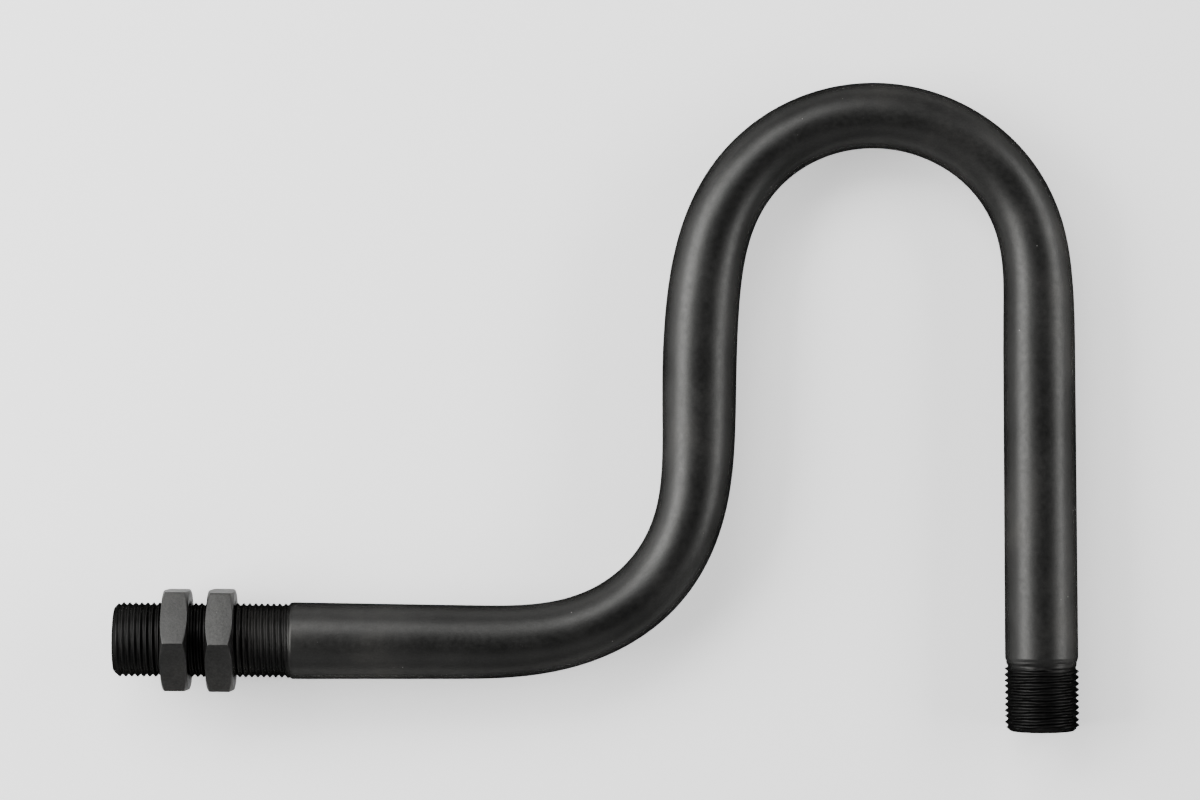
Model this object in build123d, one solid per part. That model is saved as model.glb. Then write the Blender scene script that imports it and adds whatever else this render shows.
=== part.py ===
from build123d import *
import math
import os

# Pressure gauge siphon: one steel tube bent in a single plane, with two hex
# locknuts on its process thread. Millimetres. The tube lies flat: +X runs along
# the process leg towards the bends, +Y is the side the return bend is on, and
# +Z is square to the plane of the tube. The origin is the centre of the end
# face of the process thread.

# ---- driving dimensions -------------------------------------------------------
PITCH = 25.4 / 19            # G3/8 parallel pipe thread
CREST_R = 8.30               # outside radius of both threads
ROOT_R = 7.475               # root radius of the same thread
BORE_R = 6.20                # bore of the straight legs
END_DROP = 1.15              # lead-in of both threads, measured across the radius
END_RUN = 0.45               # and along the axis

PROCESS_THREAD = 38.2        # end face to the last full crest
PROCESS_RUNOUT = 40.0        # where the full outside diameter of the tube begins
PROCESS_R0 = 8.58            # tube radius just behind the thread
FREE_END = 9.95              # free thread ahead of the outer locknut
ROOT_TURN = 0.70             # one open root between the free end and the locknut

GAUGE_THREAD = 13.73         # end face to the last full crest
GAUGE_NECK_R = 7.60          # relief behind the gauge thread
GAUGE_NECK = 14.28           # end face to the far side of the relief
GAUGE_SHOULDER = 16.15       # end face to the full outside diameter of the tube
GAUGE_R0 = 8.19              # tube radius just behind the thread

NUT_AF = 22.0                # across flats
NUT_T = 5.95                 # thickness
NUT_BORE_R = CREST_R + 0.05
NUT_MOUTH = 0.45             # countersink at each mouth of the thread
NUT_FACE_R = 10.95           # radius of the bearing face inside the corner chamfer
NUT_CHAMFER = 24.0           # degrees, slope of the corner chamfer
OUTER_NUT_X = 10.935         # end face of the tube to the near face of each locknut
INNER_NUT_X = 20.915
OUTER_NUT_TURN = 0.7         # degrees off corner-up
INNER_NUT_TURN = 1.7

# Centreline of the bent run and its section at each station:
# x, y, heading in degrees, half width in the plane of the bend, half width square
# to it. The tube is drawn slightly oval in the elbow and in the return bend.
STATIONS = [
    (75.170, 0.000, 0.00, 8.295, 8.295),
    (82.170, 0.028, 0.80, 8.221, 8.229),
    (88.166, 0.228, 3.33, 8.085, 8.135),
    (94.138, 0.788, 7.67, 7.911, 8.047),
    (100.035, 1.885, 13.67, 7.735, 7.991),
    (105.760, 3.666, 21.10, 7.592, 7.974),
    (111.179, 6.228, 29.68, 7.510, 7.989),
    (116.128, 9.609, 39.09, 7.488, 7.991),
    (120.437, 13.772, 48.98, 7.497, 7.995),
    (123.964, 18.617, 58.89, 7.521, 8.004),
    (126.624, 23.988, 68.27, 7.581, 8.011),
    (128.426, 29.705, 76.48, 7.698, 7.997),
    (129.482, 35.609, 82.91, 7.865, 8.023),
    (129.977, 41.587, 87.25, 8.039, 8.096),
    (130.129, 47.584, 89.54, 8.180, 8.191),
    (130.131, 53.584, 90.19, 8.275, 8.276),
    (130.128, 59.584, 89.73, 8.323, 8.323),
    (130.211, 65.584, 88.60, 8.324, 8.324),
    (130.438, 71.579, 86.98, 8.277, 8.280),
    (130.867, 77.563, 84.67, 8.183, 8.204),
    (131.592, 83.518, 81.19, 8.048, 8.119),
    (132.762, 89.401, 76.00, 7.887, 8.057),
    (134.553, 95.124, 68.95, 7.726, 8.031),
    (137.109, 100.546, 60.37, 7.586, 8.025),
    (140.487, 105.496, 50.91, 7.483, 7.989),
    (144.646, 109.811, 41.21, 7.415, 7.964),
    (149.470, 113.367, 31.62, 7.378, 7.950),
    (154.814, 116.081, 22.25, 7.364, 7.944),
    (160.525, 117.897, 13.04, 7.365, 7.937),
    (166.454, 118.779, 3.90, 7.370, 7.936),
    (172.447, 118.712, -5.18, 7.371, 7.933),
    (178.355, 117.702, -14.22, 7.365, 7.928),
    (184.031, 115.777, -23.25, 7.358, 7.927),
    (189.333, 112.982, -32.39, 7.353, 7.938),
    (194.115, 109.368, -41.85, 7.358, 7.942),
    (198.219, 105.002, -51.78, 7.378, 7.950),
    (201.492, 99.983, -62.02, 7.421, 7.966),
    (203.832, 94.466, -71.87, 7.492, 7.993),
    (205.262, 88.644, -80.15, 7.598, 7.934),
    (205.971, 82.689, -85.74, 7.744, 7.893),
    (206.256, 76.696, -88.36, 7.919, 7.950),
    (206.491, 64.698, -88.98, 8.062, 8.062),
]
GAUGE_END = (207.9745, -18.830)   # centre of the end face of the gauge thread


def section(x, y, heading, in_plane, square):
    """One oval section across the centreline."""
    h = math.radians(heading)
    plane = Plane(origin=(x, y, 0), x_dir=(0, 0, 1), z_dir=(math.cos(h), math.sin(h), 0))
    if square - in_plane < 0.002:
        return plane * Circle(in_plane)
    # the long axis always points along Z, so the seam of the loft never jumps
    return plane * Ellipse(square, in_plane)


def bent_run(shrink):
    """Loft through every station, inset by shrink(i) for the bore."""
    faces = []
    for i, (x, y, heading, a, b) in enumerate(STATIONS):
        w = shrink(i)
        faces.append(section(x, y, heading, a - w, b - w))
    return loft(faces)


def turned(profile, origin, axis):
    """Solid of revolution from (distance, radius) pairs along an axis."""
    plane = Plane(origin=origin, x_dir=axis, z_dir=Vector(*axis).cross(Vector(0, 0, 1)))
    pts = [(profile[0][0], 0)] + list(profile) + [(profile[-1][0], 0)]
    face = make_face(Polyline(*pts, close=True))
    return revolve(plane * face, Axis(origin, axis))


def hex_nut(x0, turn):
    """Hex locknut with both faces chamfered and a countersunk thread bore."""
    corner = NUT_AF / math.sqrt(3)
    t = math.radians(turn)
    # the first corner points along Z before the turn
    plane = Plane(origin=(x0, 0, 0), x_dir=(0, -math.sin(t), math.cos(t)), z_dir=(1, 0, 0))
    blank = extrude(plane * RegularPolygon(corner, 6), NUT_T)
    drop = (corner + 0.2 - NUT_FACE_R) * math.tan(math.radians(NUT_CHAMFER))
    rim = turned(
        [(0, NUT_FACE_R), (drop, corner + 0.2), (NUT_T - drop, corner + 0.2), (NUT_T, NUT_FACE_R)],
        (x0, 0, 0), (1, 0, 0))
    hole = turned(
        [(-1.0, NUT_BORE_R + NUT_MOUTH + 1.0), (NUT_MOUTH, NUT_BORE_R),
         (NUT_T - NUT_MOUTH, NUT_BORE_R), (NUT_T + 1.0, NUT_BORE_R + NUT_MOUTH + 1.0)],
        (x0, 0, 0), (1, 0, 0))
    return (blank & rim) - hole


# ---- tube ---------------------------------------------------------------------
first, last = STATIONS[0], STATIONS[-1]
leg = Vector(GAUGE_END[0] - last[0], GAUGE_END[1] - last[1], 0)
LEG_LEN = leg.length
leg_dir = leg.normalized()
out_dir = (leg_dir.X, leg_dir.Y, 0)
back_dir = (-leg_dir.X, -leg_dir.Y, 0)
gauge_end = (GAUGE_END[0], GAUGE_END[1], 0)

process_leg = turned(
    [(0, CREST_R - END_DROP), (END_RUN, CREST_R),
     (FREE_END, CREST_R), (FREE_END, ROOT_R), (FREE_END + ROOT_TURN, ROOT_R),
     (FREE_END + ROOT_TURN, CREST_R),
     (PROCESS_THREAD, CREST_R), (PROCESS_RUNOUT, PROCESS_R0),
     (first[0], first[3])],
    (0, 0, 0), (1, 0, 0))
gauge_leg = turned(
    [(0, CREST_R - END_DROP), (END_RUN, CREST_R),
     (GAUGE_THREAD, CREST_R), (GAUGE_THREAD, GAUGE_NECK_R),
     (GAUGE_NECK, GAUGE_NECK_R), (GAUGE_SHOULDER, GAUGE_R0),
     (LEG_LEN, last[3])],
    gauge_end, back_dir)

n = len(STATIONS) - 1
outer = bent_run(lambda i: 0.0)
inner = bent_run(lambda i: (first[3] - BORE_R) * (1 - i / n) + (last[3] - BORE_R) * i / n)
process_bore = turned([(-1, BORE_R), (first[0], BORE_R)], (0, 0, 0), (1, 0, 0))
gauge_bore = turned([(-1, BORE_R), (LEG_LEN, BORE_R)], gauge_end, back_dir)

parts = {}
parts["siphon_tube"] = (process_leg - process_bore) + (outer - inner) + (gauge_leg - gauge_bore)
parts["outer_locknut"] = hex_nut(OUTER_NUT_X, OUTER_NUT_TURN)
parts["inner_locknut"] = hex_nut(INNER_NUT_X, INNER_NUT_TURN)

os.makedirs("parts", exist_ok=True)
for name, shape in parts.items():
    solids = shape.solids()
    bb = shape.bounding_box()
    print(name, "solids", len(solids), "valid", shape.is_valid, "volume", round(shape.volume, 1),
          "box", [round(v, 3) for v in (*bb.min, *bb.max)])
    body = solids[0] if len(solids) == 1 else shape
    body.label = name
    export_step(body, f"parts/{name}.step")
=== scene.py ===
import math
import bpy
import bmesh
import numpy as np
from mathutils import Matrix, Vector


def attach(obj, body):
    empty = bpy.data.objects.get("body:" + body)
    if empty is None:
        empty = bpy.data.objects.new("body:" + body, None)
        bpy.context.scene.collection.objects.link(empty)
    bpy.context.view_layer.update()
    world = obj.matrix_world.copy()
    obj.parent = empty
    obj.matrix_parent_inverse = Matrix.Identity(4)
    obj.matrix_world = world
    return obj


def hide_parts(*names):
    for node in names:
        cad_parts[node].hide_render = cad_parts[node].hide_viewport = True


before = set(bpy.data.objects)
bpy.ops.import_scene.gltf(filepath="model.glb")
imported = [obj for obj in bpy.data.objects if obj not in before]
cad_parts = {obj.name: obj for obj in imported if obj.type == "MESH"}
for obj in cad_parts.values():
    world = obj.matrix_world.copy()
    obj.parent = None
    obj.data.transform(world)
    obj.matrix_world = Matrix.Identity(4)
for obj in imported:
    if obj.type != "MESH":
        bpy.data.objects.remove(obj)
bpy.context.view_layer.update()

MM = 0.001

# ---------------------------------------------------------------- dimensions, mm
PITCH = 25.4 / 19
CREST_R = 8.30
DEPTH = 0.52                # long thread and the nuts on it
GAUGE_DEPTH = 0.66
BORE_R = 6.20
END_R = 7.15
X0 = 75.17                 # the bent run begins here
PROCESS_R0 = 8.58
GAUGE_R0 = 8.19
LEG = 83.541
STATIONS = [
    (75.170, 0.000, 0.00, 8.295, 8.295), (82.170, 0.028, 0.80, 8.221, 8.229),
    (88.166, 0.228, 3.33, 8.085, 8.135), (94.138, 0.788, 7.67, 7.911, 8.047),
    (100.035, 1.885, 13.67, 7.735, 7.991), (105.760, 3.666, 21.10, 7.592, 7.974),
    (111.179, 6.228, 29.68, 7.510, 7.989), (116.128, 9.609, 39.09, 7.488, 7.991),
    (120.437, 13.772, 48.98, 7.497, 7.995), (123.964, 18.617, 58.89, 7.521, 8.004),
    (126.624, 23.988, 68.27, 7.581, 8.011), (128.426, 29.705, 76.48, 7.698, 7.997),
    (129.482, 35.609, 82.91, 7.865, 8.023), (129.977, 41.587, 87.25, 8.039, 8.096),
    (130.129, 47.584, 89.54, 8.180, 8.191), (130.131, 53.584, 90.19, 8.275, 8.276),
    (130.128, 59.584, 89.73, 8.323, 8.323), (130.211, 65.584, 88.60, 8.324, 8.324),
    (130.438, 71.579, 86.98, 8.277, 8.280), (130.867, 77.563, 84.67, 8.183, 8.204),
    (131.592, 83.518, 81.19, 8.048, 8.119), (132.762, 89.401, 76.00, 7.887, 8.057),
    (134.553, 95.124, 68.95, 7.726, 8.031), (137.109, 100.546, 60.37, 7.586, 8.025),
    (140.487, 105.496, 50.91, 7.483, 7.989), (144.646, 109.811, 41.21, 7.415, 7.964),
    (149.470, 113.367, 31.62, 7.378, 7.950), (154.814, 116.081, 22.25, 7.364, 7.944),
    (160.525, 117.897, 13.04, 7.365, 7.937), (166.454, 118.779, 3.90, 7.370, 7.936),
    (172.447, 118.712, -5.18, 7.371, 7.933), (178.355, 117.702, -14.22, 7.365, 7.928),
    (184.031, 115.777, -23.25, 7.358, 7.927), (189.333, 112.982, -32.39, 7.353, 7.938),
    (194.115, 109.368, -41.85, 7.358, 7.942), (198.219, 105.002, -51.78, 7.378, 7.950),
    (201.492, 99.983, -62.02, 7.421, 7.966), (203.832, 94.466, -71.87, 7.492, 7.993),
    (205.262, 88.644, -80.15, 7.598, 7.934), (205.971, 82.689, -85.74, 7.744, 7.893),
    (206.256, 76.696, -88.36, 7.919, 7.950), (206.491, 64.698, -88.98, 8.062, 8.062),
]
NUTS = [("outer_locknut", "outer_nut", 10.935, 0.7), ("inner_locknut", "inner_nut", 20.915, 1.7)]
NUT_AF, NUT_T, NUT_FACE_R, NUT_CHAMFER = 22.0, 5.95, 10.95, 24.0


def smooth(a, b, x):
    t = np.clip((np.asarray(x, float) - a) / (b - a), 0, 1)
    return t * t * (3 - 2 * t)


# ---------------------------------------------------------------- thread profile
_n = 512
_ph = np.arange(_n) / _n
_tri = 1.22 * (1 - np.abs(2 * _ph - 1)) - 0.25
_prof = np.clip(_tri, 0, 0.856) / 0.856
_k = np.exp(-0.5 * (np.arange(-60, 61) / (0.035 * _n)) ** 2)
_k /= _k.sum()
_prof = np.convolve(np.r_[_prof[-60:], _prof, _prof[:60]], _k, "valid")
_prof = (_prof - _prof.min()) / (_prof.max() - _prof.min())


def profile(phase):
    """0 at the root of the thread and 1 at its crest."""
    return np.interp((np.asarray(phase) % 1.0) * _n, np.arange(_n + 1), np.r_[_prof, _prof[0]])


# ---------------------------------------------------------------- centreline
def build_path():
    """Dense centreline from the process end face to the gauge end face:
    arc length, x, y, heading, in-plane half width, square half width."""
    seg = []
    st = np.array(STATIONS, float)
    th = np.radians(st[:, 2])
    for i in range(len(st) - 1):
        p0, p1 = st[i, :2], st[i + 1, :2]
        d = np.linalg.norm(p1 - p0) * 1.0
        m0 = np.array([math.cos(th[i]), math.sin(th[i])]) * d
        m1 = np.array([math.cos(th[i + 1]), math.sin(th[i + 1])]) * d
        n = max(2, int(d / 0.5))
        for j in range(n):
            t = j / n
            h00, h10 = 2 * t**3 - 3 * t**2 + 1, t**3 - 2 * t**2 + t
            h01, h11 = -2 * t**3 + 3 * t**2, t**3 - t**2
            p = h00 * p0 + h10 * m0 + h01 * p1 + h11 * m1
            seg.append((p[0], p[1]))
    seg.append(tuple(st[-1, :2]))
    seg = np.array(seg)
    s = np.r_[0, np.cumsum(np.hypot(*np.diff(seg, axis=0).T))] + X0
    # station arc lengths
    ss = []
    for p in st[:, :2]:
        ss.append(s[np.argmin(np.hypot(*(seg - p).T))])
    ss = np.array(ss)
    # smooth the half widths through the stations (monotone enough: a natural cubic)
    def cubic(x, y, q):
        n = len(x)
        h = np.diff(x)
        A = np.zeros((n, n)); r = np.zeros(n)
        A[0, 0] = A[-1, -1] = 1
        for i in range(1, n - 1):
            A[i, i - 1], A[i, i], A[i, i + 1] = h[i - 1], 2 * (h[i - 1] + h[i]), h[i]
            r[i] = 6 * ((y[i + 1] - y[i]) / h[i] - (y[i] - y[i - 1]) / h[i - 1])
        m = np.linalg.solve(A, r)
        k = np.clip(np.searchsorted(x, q) - 1, 0, n - 2)
        a, b = x[k + 1] - q, q - x[k]
        return (m[k] * a**3 + m[k + 1] * b**3) / (6 * h[k]) + (y[k] / h[k] - m[k] * h[k] / 6) * a + (
            y[k + 1] / h[k] - m[k + 1] * h[k] / 6) * b
    return s, seg, ss, st, cubic


S, SEG, SS, ST, cubic = build_path()
S_END = S[-1] + LEG
HEAD = np.unwrap(np.radians(ST[:, 2]))


def at(s):
    """Centre, heading and half widths (a in the plane, b square to it) at arc length s."""
    s = np.atleast_1d(np.asarray(s, float))
    x = np.where(s <= X0, s, np.interp(s, S, SEG[:, 0]))
    y = np.where(s <= X0, 0.0, np.interp(s, S, SEG[:, 1]))
    h = np.where(s <= X0, 0.0, cubic(SS, HEAD, np.clip(s, SS[0], SS[-1])))
    a = cubic(SS, ST[:, 3], np.clip(s, SS[0], SS[-1]))
    b = cubic(SS, ST[:, 4], np.clip(s, SS[0], SS[-1]))
    leg = s > S[-1]
    u = np.array([207.9745 - 206.491, -18.830 - 64.698]) / LEG
    x = np.where(leg, 206.491 + u[0] * (s - S[-1]), x)
    y = np.where(leg, 64.698 + u[1] * (s - S[-1]), y)
    h = np.where(leg, math.atan2(u[1], u[0]), h)
    left = s < X0
    a = np.where(left, 8.295 + (PROCESS_R0 - 8.295) * np.clip((X0 - s) / (X0 - 40.0), 0, 1), a)
    b = np.where(left, a, b)
    t = S_END - s
    a = np.where(leg, 8.062 + (GAUGE_R0 - 8.062) * np.clip((LEG - t) / (LEG - 16.4), 0, 1), a)
    b = np.where(leg, a, b)
    return x, y, h, a, b


# ---------------------------------------------------------------- tube mesh
COLS = 112
GAUGE_PHASE = 0.5
THETA = np.arange(COLS) / COLS * 2 * math.pi
STEP = PITCH / 12


def outer_rows():
    s_a = np.arange(0.0, 40.6, STEP)
    s_c0 = S_END - 16.8
    n_c = int(round((S_END - s_c0) / STEP))
    s_c = np.linspace(s_c0, S_END, n_c + 1)
    n_b = int((s_c0 - s_a[-1]) / 1.45)
    s_b = np.linspace(s_a[-1], s_c0, n_b + 1)[1:-1]
    return np.r_[s_a, s_b, s_c]


def outer_points(rows):
    x, y, h, a, b = at(rows)
    nx, ny = -np.sin(h), np.cos(h)
    P = np.zeros((len(rows), COLS, 3))
    c, s = np.cos(THETA)[None, :], np.sin(THETA)[None, :]
    r = np.sqrt(1.0 / ((c / a[:, None]) ** 2 + (s / b[:, None]) ** 2))
    q = rows[:, None]
    t = S_END - q
    th = THETA[None, :]
    # slight waviness left by the threading die, heavier on the gauge thread
    wave = (np.sin(5 * th + 2.1 * q) + 0.8 * np.sin(9 * th - 3.7 * q + 1.3) + 0.7 * np.sin(14 * th + 5.3 * q + 0.4)
            + 0.6 * np.sin(23 * th - 8.1 * q + 2.2)) / 3.1
    # process thread: full crests, then a run-out that climbs to the tube's own surface
    h = profile(q / PITCH - th / (2 * math.pi))
    on = 1 - smooth(38.4, 40.0, q)
    base = CREST_R + (PROCESS_R0 - CREST_R) * smooth(38.0, 39.97, q)
    ra = base - DEPTH * (1 - h) * on + 0.012 * wave * on
    lead = END_R + q * 1.02 - 0.10 * np.exp(-q / 0.25)
    ra = np.minimum(ra, lead)
    r = np.where(q < 40.0, ra, r)
    # gauge thread: lead-in, crests, then shallow vanishing turns on the taper behind it
    wander = 0.045 * np.sin(3 * th + 0.9 * q + 0.6) + 0.035 * np.sin(7 * th - 1.7 * q + 2.0) + 0.02 * np.sin(13 * th + 2.9 * q)
    h = profile(q / PITCH - th / (2 * math.pi) + GAUGE_PHASE + wander)
    # the cut-off wanders round the tube, so the last turn ends unevenly rather than in one ring
    tw = t + 0.22 * np.sin(th + 0.8) + 0.14 * np.sin(4 * th + 2.0 * q) + 0.08 * np.sin(9 * th - 1.1 * q)
    tw = np.where(t > 15.3, t, tw)
    crest = np.interp(tw, [0, 13.90, 14.25, 16.15, 16.5], [CREST_R, CREST_R, 7.70, 8.09, GAUGE_R0])
    valley = np.interp(tw, [0, 13.9, 14.5, 15.9, 16.3], [CREST_R - GAUGE_DEPTH, CREST_R - GAUGE_DEPTH, 7.54, 7.98, 8.30])
    rc = crest - np.maximum(crest - valley, 0) * (1 - h) + 0.035 * wave * (1 - smooth(14.0, 16.0, t))
    rc = np.minimum(rc, END_R + t * 1.02 - 0.10 * np.exp(-t / 0.25))
    r = np.where(t < 16.4, rc, r)
    P[..., 0] = x[:, None] + r * c * nx[:, None]
    P[..., 1] = y[:, None] + r * c * ny[:, None]
    P[..., 2] = r * s
    return P


def bore_points(rows):
    x, y, h, a, b = at(rows)
    wall = np.interp(rows, [X0, S[-1]], [8.295 - BORE_R, 8.062 - BORE_R])
    ai = np.where((rows <= X0) | (rows >= S[-1]), BORE_R, a - wall)
    bi = np.where((rows <= X0) | (rows >= S[-1]), BORE_R, b - wall)
    # broken edges at both mouths
    mouth = 0.25 * (np.clip(1 - rows / 0.25, 0, 1) + np.clip(1 - (S_END - rows) / 0.25, 0, 1))
    ai, bi = ai + mouth, bi + mouth
    c, s = np.cos(THETA)[None, :], np.sin(THETA)[None, :]
    r = np.sqrt(1.0 / ((c / ai[:, None]) ** 2 + (s / bi[:, None]) ** 2))
    P = np.zeros((len(rows), COLS, 3))
    P[..., 0] = x[:, None] + r * c * (-np.sin(h))[:, None]
    P[..., 1] = y[:, None] + r * c * np.cos(h)[:, None]
    P[..., 2] = r * s
    return P


def grid_mesh(name, rings, sharp_deg=34, closed=True):
    """A closed surface from rings of points; each ring wraps, and the last ring meets the first."""
    n, m = rings.shape[:2]
    verts = rings.reshape(-1, 3) * MM
    i = np.arange(n if closed else n - 1)[:, None]
    j = np.arange(m)[None, :]
    i2, j2 = (i + 1) % n, (j + 1) % m
    faces = np.stack([i * m + j, i * m + j2, i2 * m + j2, i2 * m + j], -1).reshape(-1, 4)
    me = bpy.data.meshes.new(name)
    me.from_pydata(verts.tolist(), [], faces.tolist())
    me.update()
    bm = bmesh.new()
    bm.from_mesh(me)
    bmesh.ops.recalc_face_normals(bm, faces=bm.faces)
    lim = math.radians(sharp_deg)
    for f in bm.faces:
        f.smooth = True
    for e in bm.edges:
        if len(e.link_faces) == 2 and e.calc_face_angle(0) > lim:
            e.smooth = False
    bm.to_mesh(me)
    bm.free()
    ob = bpy.data.objects.new(name, me)
    bpy.context.scene.collection.objects.link(ob)
    return ob


rows = outer_rows()
outer = outer_points(rows)
in_rows = np.r_[0.0, 0.12, 0.25, np.linspace(2, 73, 16), np.linspace(X0, S[-1], 64),
                np.linspace(S[-1] + 3, S_END - 2, 18), S_END - 0.25, S_END - 0.12, S_END]
bore = bore_points(in_rows)
tube = grid_mesh("tube_body", np.concatenate([outer, bore[::-1]], 0), sharp_deg=60)


# ---------------------------------------------------------------- locknuts
def fillet(pts, radii, n=4):
    """Round the corners of an open (x, r) polyline, one arc of n+1 points for each radius."""
    out = [pts[0]]
    for k in range(1, len(pts) - 1):
        p, a, b, rad = pts[k], pts[k - 1], pts[k + 1], radii[k]
        if rad <= 0:
            out.append(p)
            continue
        u, v = a - p, b - p
        lu, lv = np.linalg.norm(u), np.linalg.norm(v)
        u, v = u / lu, v / lv
        ang = math.acos(float(np.clip(u @ v, -1, 1)))
        if abs(math.pi - ang) < 1e-3:
            out += [p] * (n + 1)
            continue
        d = min(rad / math.tan(ang / 2), 0.45 * lu, 0.45 * lv)
        p0, p1 = p + u * d, p + v * d
        for t in np.linspace(0, 1, n + 1):
            out.append((1 - t) ** 2 * p0 + 2 * t * (1 - t) * p + t**2 * p1)
    out.append(pts[-1])
    return np.array(out)


def nut(name, x0, turn):
    rc = 0.30
    ap = NUT_AF / 2
    cols = []
    for k in range(6):
        mid = math.radians(60 * k)          # direction of a corner, from +Z
        d = (ap - rc) / math.cos(math.radians(30))
        for t in np.linspace(-30, 30, 7):
            q = mid + math.radians(t)
            cols.append((d * math.sin(mid) + rc * math.sin(q), d * math.cos(mid) + rc * math.cos(q)))
        mid2 = mid + math.radians(60)
        p0 = np.array([d * math.sin(mid) + rc * math.sin(mid + math.radians(30)),
                       d * math.cos(mid) + rc * math.cos(mid + math.radians(30))])
        p1 = np.array([d * math.sin(mid2) + rc * math.sin(mid2 - math.radians(30)),
                       d * math.cos(mid2) + rc * math.cos(mid2 - math.radians(30))])
        for t in np.linspace(0, 1, 17)[1:-1]:
            cols.append(tuple(p0 * (1 - t) + p1 * t))
    cols = np.array(cols)
    R = np.hypot(cols[:, 0], cols[:, 1])
    ang = np.arctan2(cols[:, 0], cols[:, 1]) + math.radians(turn) * -1.0   # from +Z towards +Y
    slope = math.tan(math.radians(NUT_CHAMFER))
    bore_x = np.arange(0.55, NUT_T - 0.55 + 1e-6, STEP)
    rings = []
    for Rk, q in zip(R, ang):
        th = math.pi / 2 - q                  # angle from +Y towards +Z
        def r_in(x):
            ph = (x0 + x) / PITCH - th / (2 * math.pi)
            return CREST_R + 0.07 - DEPTH * (1 - float(profile(ph)))
        dx = (Rk - NUT_FACE_R) * slope
        mouth = 8.95
        pts = np.array([(0.55, r_in(0.55)), (0.0, mouth), (0.0, NUT_FACE_R), (dx, Rk),
                        (NUT_T - dx, Rk), (NUT_T, NUT_FACE_R), (NUT_T, mouth), (NUT_T - 0.55, r_in(NUT_T - 0.55))])
        prof = fillet(pts, [0, 0.10, 0.14, 0.22, 0.22, 0.14, 0.10, 0])
        back = [(x, r_in(x)) for x in bore_x[::-1] if 0.55 + 1e-4 < x < NUT_T - 0.55 - 1e-4]
        line = np.concatenate([prof, np.array(back)], 0)
        rings.append(np.stack([x0 + line[:, 0], line[:, 1] * math.sin(q), line[:, 1] * math.cos(q)], -1))
    return grid_mesh(name, np.array(rings), sharp_deg=50)


nut_obs = [(nut(n + "_body", x0, turn), n, body) for n, body, x0, turn in NUTS]


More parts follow.
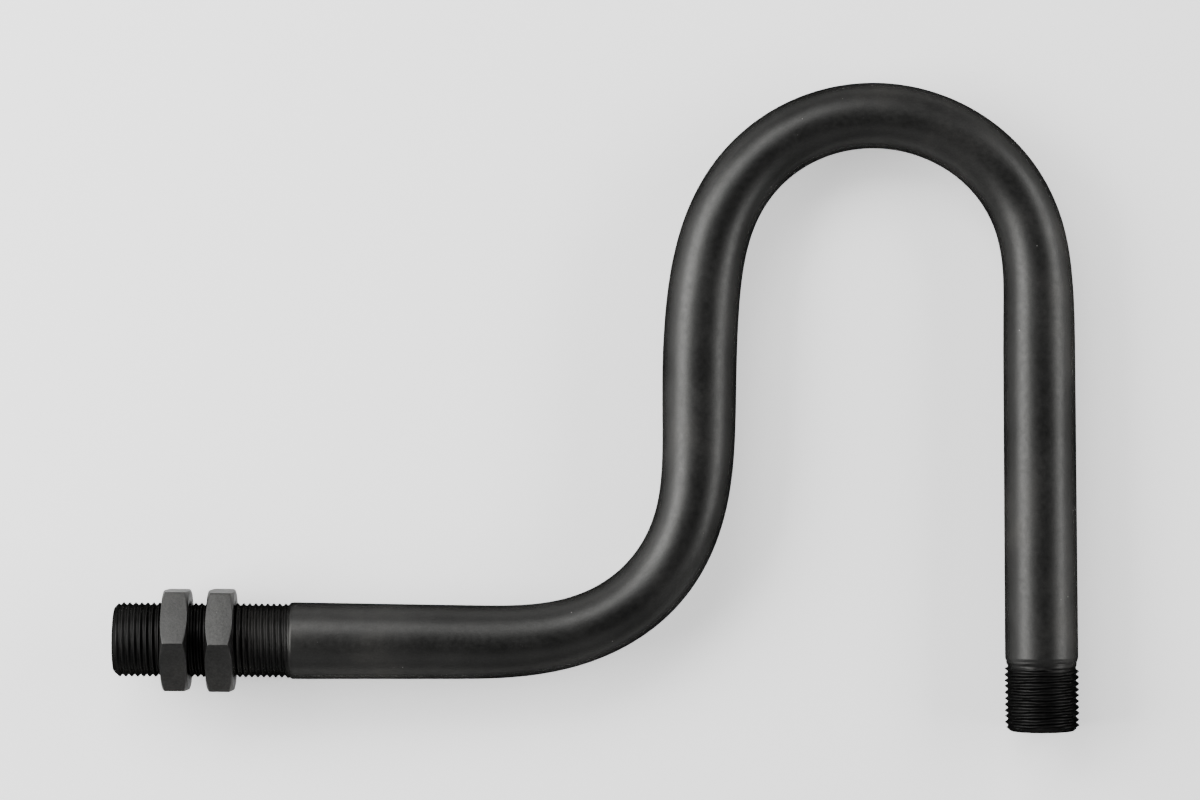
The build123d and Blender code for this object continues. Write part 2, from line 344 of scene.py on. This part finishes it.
# ---------------------------------------------------------------- materials
def black_steel(name, base, rough, tint, grain_scale, grain_height, grain_strength, grain_tone, speck_tone, thread_tone=1.0):
    m = bpy.data.materials.new(name)
    m.use_nodes = True
    nt = m.node_tree
    N, L = nt.nodes, nt.links
    for n in list(N):
        N.remove(n)
    out = N.new("ShaderNodeOutputMaterial")
    bsdf = N.new("ShaderNodeBsdfPrincipled")
    L.new(bsdf.outputs[0], out.inputs[0])
    co = N.new("ShaderNodeTexCoord")

    def noise(scale, detail, rough_=0.55, vec=None):
        n = N.new("ShaderNodeTexNoise")
        n.inputs["Scale"].default_value = scale
        n.inputs["Detail"].default_value = detail
        n.inputs["Roughness"].default_value = rough_
        L.new(vec or co.outputs["Object"], n.inputs["Vector"])
        return n

    def ramp(src, stops):
        r = N.new("ShaderNodeValToRGB")
        r.color_ramp.elements[0].position, r.color_ramp.elements[0].color = stops[0]
        r.color_ramp.elements[1].position, r.color_ramp.elements[1].color = stops[-1]
        for p, c in stops[1:-1]:
            e = r.color_ramp.elements.new(p)
            e.color = c
        L.new(src, r.inputs[0])
        return r

    def g(v):
        return (v, v, v, 1)

    big = noise(55, 4)
    fine = noise(900, 5, 0.6)
    tiny = noise(grain_scale, 3, 0.55)
    # thickness of the black finish: slow mottling
    tone = ramp(big.outputs["Fac"], [(0.30, (base * 0.78, base * 0.78, base * 0.76, 1)),
                                     (0.55, (base, base * 0.995, base * 0.97, 1)),
                                     (0.75, (base * 1.32, base * 1.29, base * 1.23, 1))])
    # specks of dust and worn metal
    vor = N.new("ShaderNodeTexVoronoi")
    vor.inputs["Scale"].default_value = 620
    L.new(co.outputs["Object"], vor.inputs["Vector"])
    spot = ramp(vor.outputs["Distance"], [(0.045, g(1)), (0.085, g(0))])
    pick = ramp(noise(150, 2).outputs["Fac"], [(0.60, g(0)), (0.68, g(1))])
    speck = N.new("ShaderNodeMath"); speck.operation = "MULTIPLY"
    L.new(spot.outputs[0], speck.inputs[0]); L.new(pick.outputs[0], speck.inputs[1])
    mix = N.new("ShaderNodeMix"); mix.data_type = "RGBA"
    coarse = ramp(noise(grain_scale * 0.55, 4, 0.7).outputs["Fac"], [(0.32, g(1 - grain_tone)), (0.68, g(1 + grain_tone))])
    mul = N.new("ShaderNodeMix"); mul.data_type = "RGBA"; mul.blend_type = "MULTIPLY"
    mul.inputs[0].default_value = 1.0
    L.new(tone.outputs[0], mul.inputs[6])
    L.new(coarse.outputs[0], mul.inputs[7])
    L.new(speck.outputs[0], mix.inputs[0])
    L.new(mul.outputs[2], mix.inputs[6])
    mix.inputs[7].default_value = (speck_tone, speck_tone * 0.97, speck_tone * 0.94, 1)
    final = mix.outputs[2]
    if thread_tone < 1.0:
        # both cut threads drawn darker: their colour is scaled down to thread_tone times the tube's
        sep = N.new("ShaderNodeSeparateXYZ")
        L.new(co.outputs["Object"], sep.inputs[0])

        def span(src, lo, hi):
            n = N.new("ShaderNodeMapRange")
            L.new(src, n.inputs[0])
            n.inputs[1].default_value, n.inputs[2].default_value = lo, hi
            n.inputs[3].default_value, n.inputs[4].default_value = thread_tone, 1.0
            return n.outputs[0]

        def join(op, a, b):
            n = N.new("ShaderNodeMath"); n.operation = op
            L.new(a, n.inputs[0])
            if isinstance(b, float):
                n.inputs[1].default_value = b
            else:
                L.new(b, n.inputs[1])
            return n.outputs[0]

        gauge = join("MAXIMUM", span(sep.outputs[1], -0.0048, -0.0030), join("LESS_THAN", sep.outputs[0], 0.19))
        both = join("MINIMUM", span(sep.outputs[0], 0.0385, 0.0402), gauge)
        cut = N.new("ShaderNodeMix"); cut.data_type = "RGBA"; cut.blend_type = "MULTIPLY"
        cut.inputs[0].default_value = 1.0
        L.new(final, cut.inputs[6])
        L.new(both, cut.inputs[7])
        final = cut.outputs[2]
    L.new(final, bsdf.inputs["Base Color"])
    # roughness
    ro = ramp(fine.outputs["Fac"], [(0.30, g(rough - 0.045)), (0.72, g(rough + 0.06))])
    ro2 = ramp(big.outputs["Fac"], [(0.35, g(-0.0)), (0.70, g(0.07))])
    add = N.new("ShaderNodeMath"); add.operation = "ADD"
    L.new(ro.outputs[0], add.inputs[0]); L.new(ro2.outputs[0], add.inputs[1])
    L.new(add.outputs[0], bsdf.inputs["Roughness"])
    # relief: orange peel, drawn grain, pits
    b1 = N.new("ShaderNodeBump"); b1.inputs["Strength"].default_value = 0.35; b1.inputs["Distance"].default_value = 0.00006
    L.new(fine.outputs["Fac"], b1.inputs["Height"])
    b2 = N.new("ShaderNodeBump"); b2.inputs["Strength"].default_value = grain_strength; b2.inputs["Distance"].default_value = grain_height
    L.new(tiny.outputs["Fac"], b2.inputs["Height"]); L.new(b1.outputs[0], b2.inputs["Normal"])
    b3 = N.new("ShaderNodeBump"); b3.inputs["Strength"].default_value = 0.4; b3.inputs["Distance"].default_value = 0.00005
    L.new(speck.outputs[0], b3.inputs["Height"]); L.new(b2.outputs[0], b3.inputs["Normal"])
    L.new(b3.outputs[0], bsdf.inputs["Normal"])
    bsdf.inputs["Metallic"].default_value = 1.0
    bsdf.inputs["Specular Tint"].default_value = (tint, tint, tint, 1)
    return m


mat_tube = black_steel("satin_black_tube", 0.046, 0.42, 0.13, 5200, 0.00002, 0.30, 0.10, 0.30, 0.42)
mat_nut = black_steel("satin_black_nut", 0.050, 0.38, 0.55, 3300, 0.00006, 0.55, 0.18, 0.12)

tube.data.materials.append(mat_tube)
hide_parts("siphon_tube")
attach(tube, "tube")
for ob, node, body in nut_obs:
    ob.data.materials.append(mat_nut)
    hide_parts(node)
    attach(ob, body)


# ---------------------------------------------------------------- floor
FLOOR = (-0.013326, 0.024093, 0.00447)      # z = f0 + kx x + ky y, metres
n_floor = Vector((-FLOOR[1], -FLOOR[2], 1)).normalized()


def floor_z(x, y):
    return FLOOR[0] + FLOOR[1] * x + FLOOR[2] * y


cx, cy = 0.108, 0.054
bm = bmesh.new()
w = 1.6
quad = [bm.verts.new((cx + sx * w, cy + sy * w, floor_z(cx + sx * w, cy + sy * w))) for sx, sy in ((-1, -1), (1, -1), (1, 1), (-1, 1))]
bm.faces.new(quad)
me = bpy.data.meshes.new("floor")
bm.to_mesh(me)
bm.free()
floor = bpy.data.objects.new("floor", me)
bpy.context.scene.collection.objects.link(floor)
fm = bpy.data.materials.new("pale_floor")
fm.use_nodes = True
fb = fm.node_tree.nodes["Principled BSDF"]
fb.inputs["Base Color"].default_value = (0.90, 0.90, 0.90, 1)
fb.inputs["Roughness"].default_value = 0.85
fb.inputs["Specular IOR Level"].default_value = 0.1
fb.inputs["Emission Color"].default_value = (1, 1, 1, 1)
fb.inputs["Emission Strength"].default_value = 0.62
floor.data.materials.append(fm)

# ---------------------------------------------------------------- camera
PSI, ROLL, DIST, F_PX = math.radians(1.4), math.radians(0.56), 850.0, 3795.0
O = (-107.900, -54.453)
ex = Vector((math.cos(PSI), 0, -math.sin(PSI)))
ey = Vector((0, 1, 0))
nn = Vector((math.sin(PSI), 0, math.cos(PSI)))
c, s = math.cos(ROLL), math.sin(ROLL)
colx, coly = ex * c - ey * s, ex * s + ey * c
M = Matrix((colx, coly, nn)).transposed()          # row frame -> camera
t = Vector((0, 0, -DIST)) + M @ Vector((O[0], O[1], 0))
pos = -(M.transposed() @ t)
cam_data = bpy.data.cameras.new("camera")
cam_data.sensor_width = 36.0
cam_data.lens = F_PX / 1200.0 * 36.0
cam_data.clip_start = 0.01
cam = bpy.data.objects.new("camera", cam_data)
bpy.context.scene.collection.objects.link(cam)
mat = M.transposed().to_4x4()
mat.translation = pos * MM
cam.matrix_world = mat
bpy.context.scene.camera = cam

# ---------------------------------------------------------------- light
world = bpy.data.worlds.new("studio")
bpy.context.scene.world = world
world.use_nodes = True
wn, wl = world.node_tree.nodes, world.node_tree.links
bg = wn["Background"]
wco = wn.new("ShaderNodeTexCoord")
wsep = wn.new("ShaderNodeSeparateXYZ")
wramp = wn.new("ShaderNodeValToRGB")
wl.new(wco.outputs["Generated"], wsep.inputs[0])
wl.new(wsep.outputs[2], wramp.inputs[0])
wramp.color_ramp.elements[0].position = 0.0
wramp.color_ramp.elements[0].color = (0.45, 0.45, 0.45, 1)
wramp.color_ramp.elements[1].position = 0.75
wramp.color_ramp.elements[1].color = (0.045, 0.045, 0.045, 1)
wl.new(wramp.outputs[0], bg.inputs[0])
bg.inputs[1].default_value = 1.0


def softbox(name, at_, aim, w, h, radiance):
    """A panel w wide (level) and h tall, in metres, facing the point aim."""
    p, q = Vector(at_), Vector(aim)
    z = (p - q).normalized()
    x = Vector((0, 0, 1)).cross(z).normalized()
    y = z.cross(x)
    ld = bpy.data.lights.new(name, "AREA")
    ld.shape = "RECTANGLE"
    ld.size, ld.size_y = w, h
    ld.energy = radiance * math.pi * w * h
    lo = bpy.data.objects.new(name, ld)
    bpy.context.scene.collection.objects.link(lo)
    mm = Matrix((x, y, z)).transposed().to_4x4()
    mm.translation = p
    lo.matrix_world = mm
    return lo


softbox("left", (-0.51, 0.15, 0.385), (0.12, 0.06, 0.0), 0.72, 0.42, 11.8)
softbox("right", (0.80, 0.16, 0.38), (0.18, 0.05, 0.0), 0.80, 0.22, 9.8)
softbox("top", (-0.11, 0.51, 0.50), (0.04, 0.02, 0.0), 0.48, 0.34, 6.4)
softbox("bottom", (0.16, -0.55, 0.50), (0.12, 0.03, 0.0), 0.8, 0.34, 0.9)
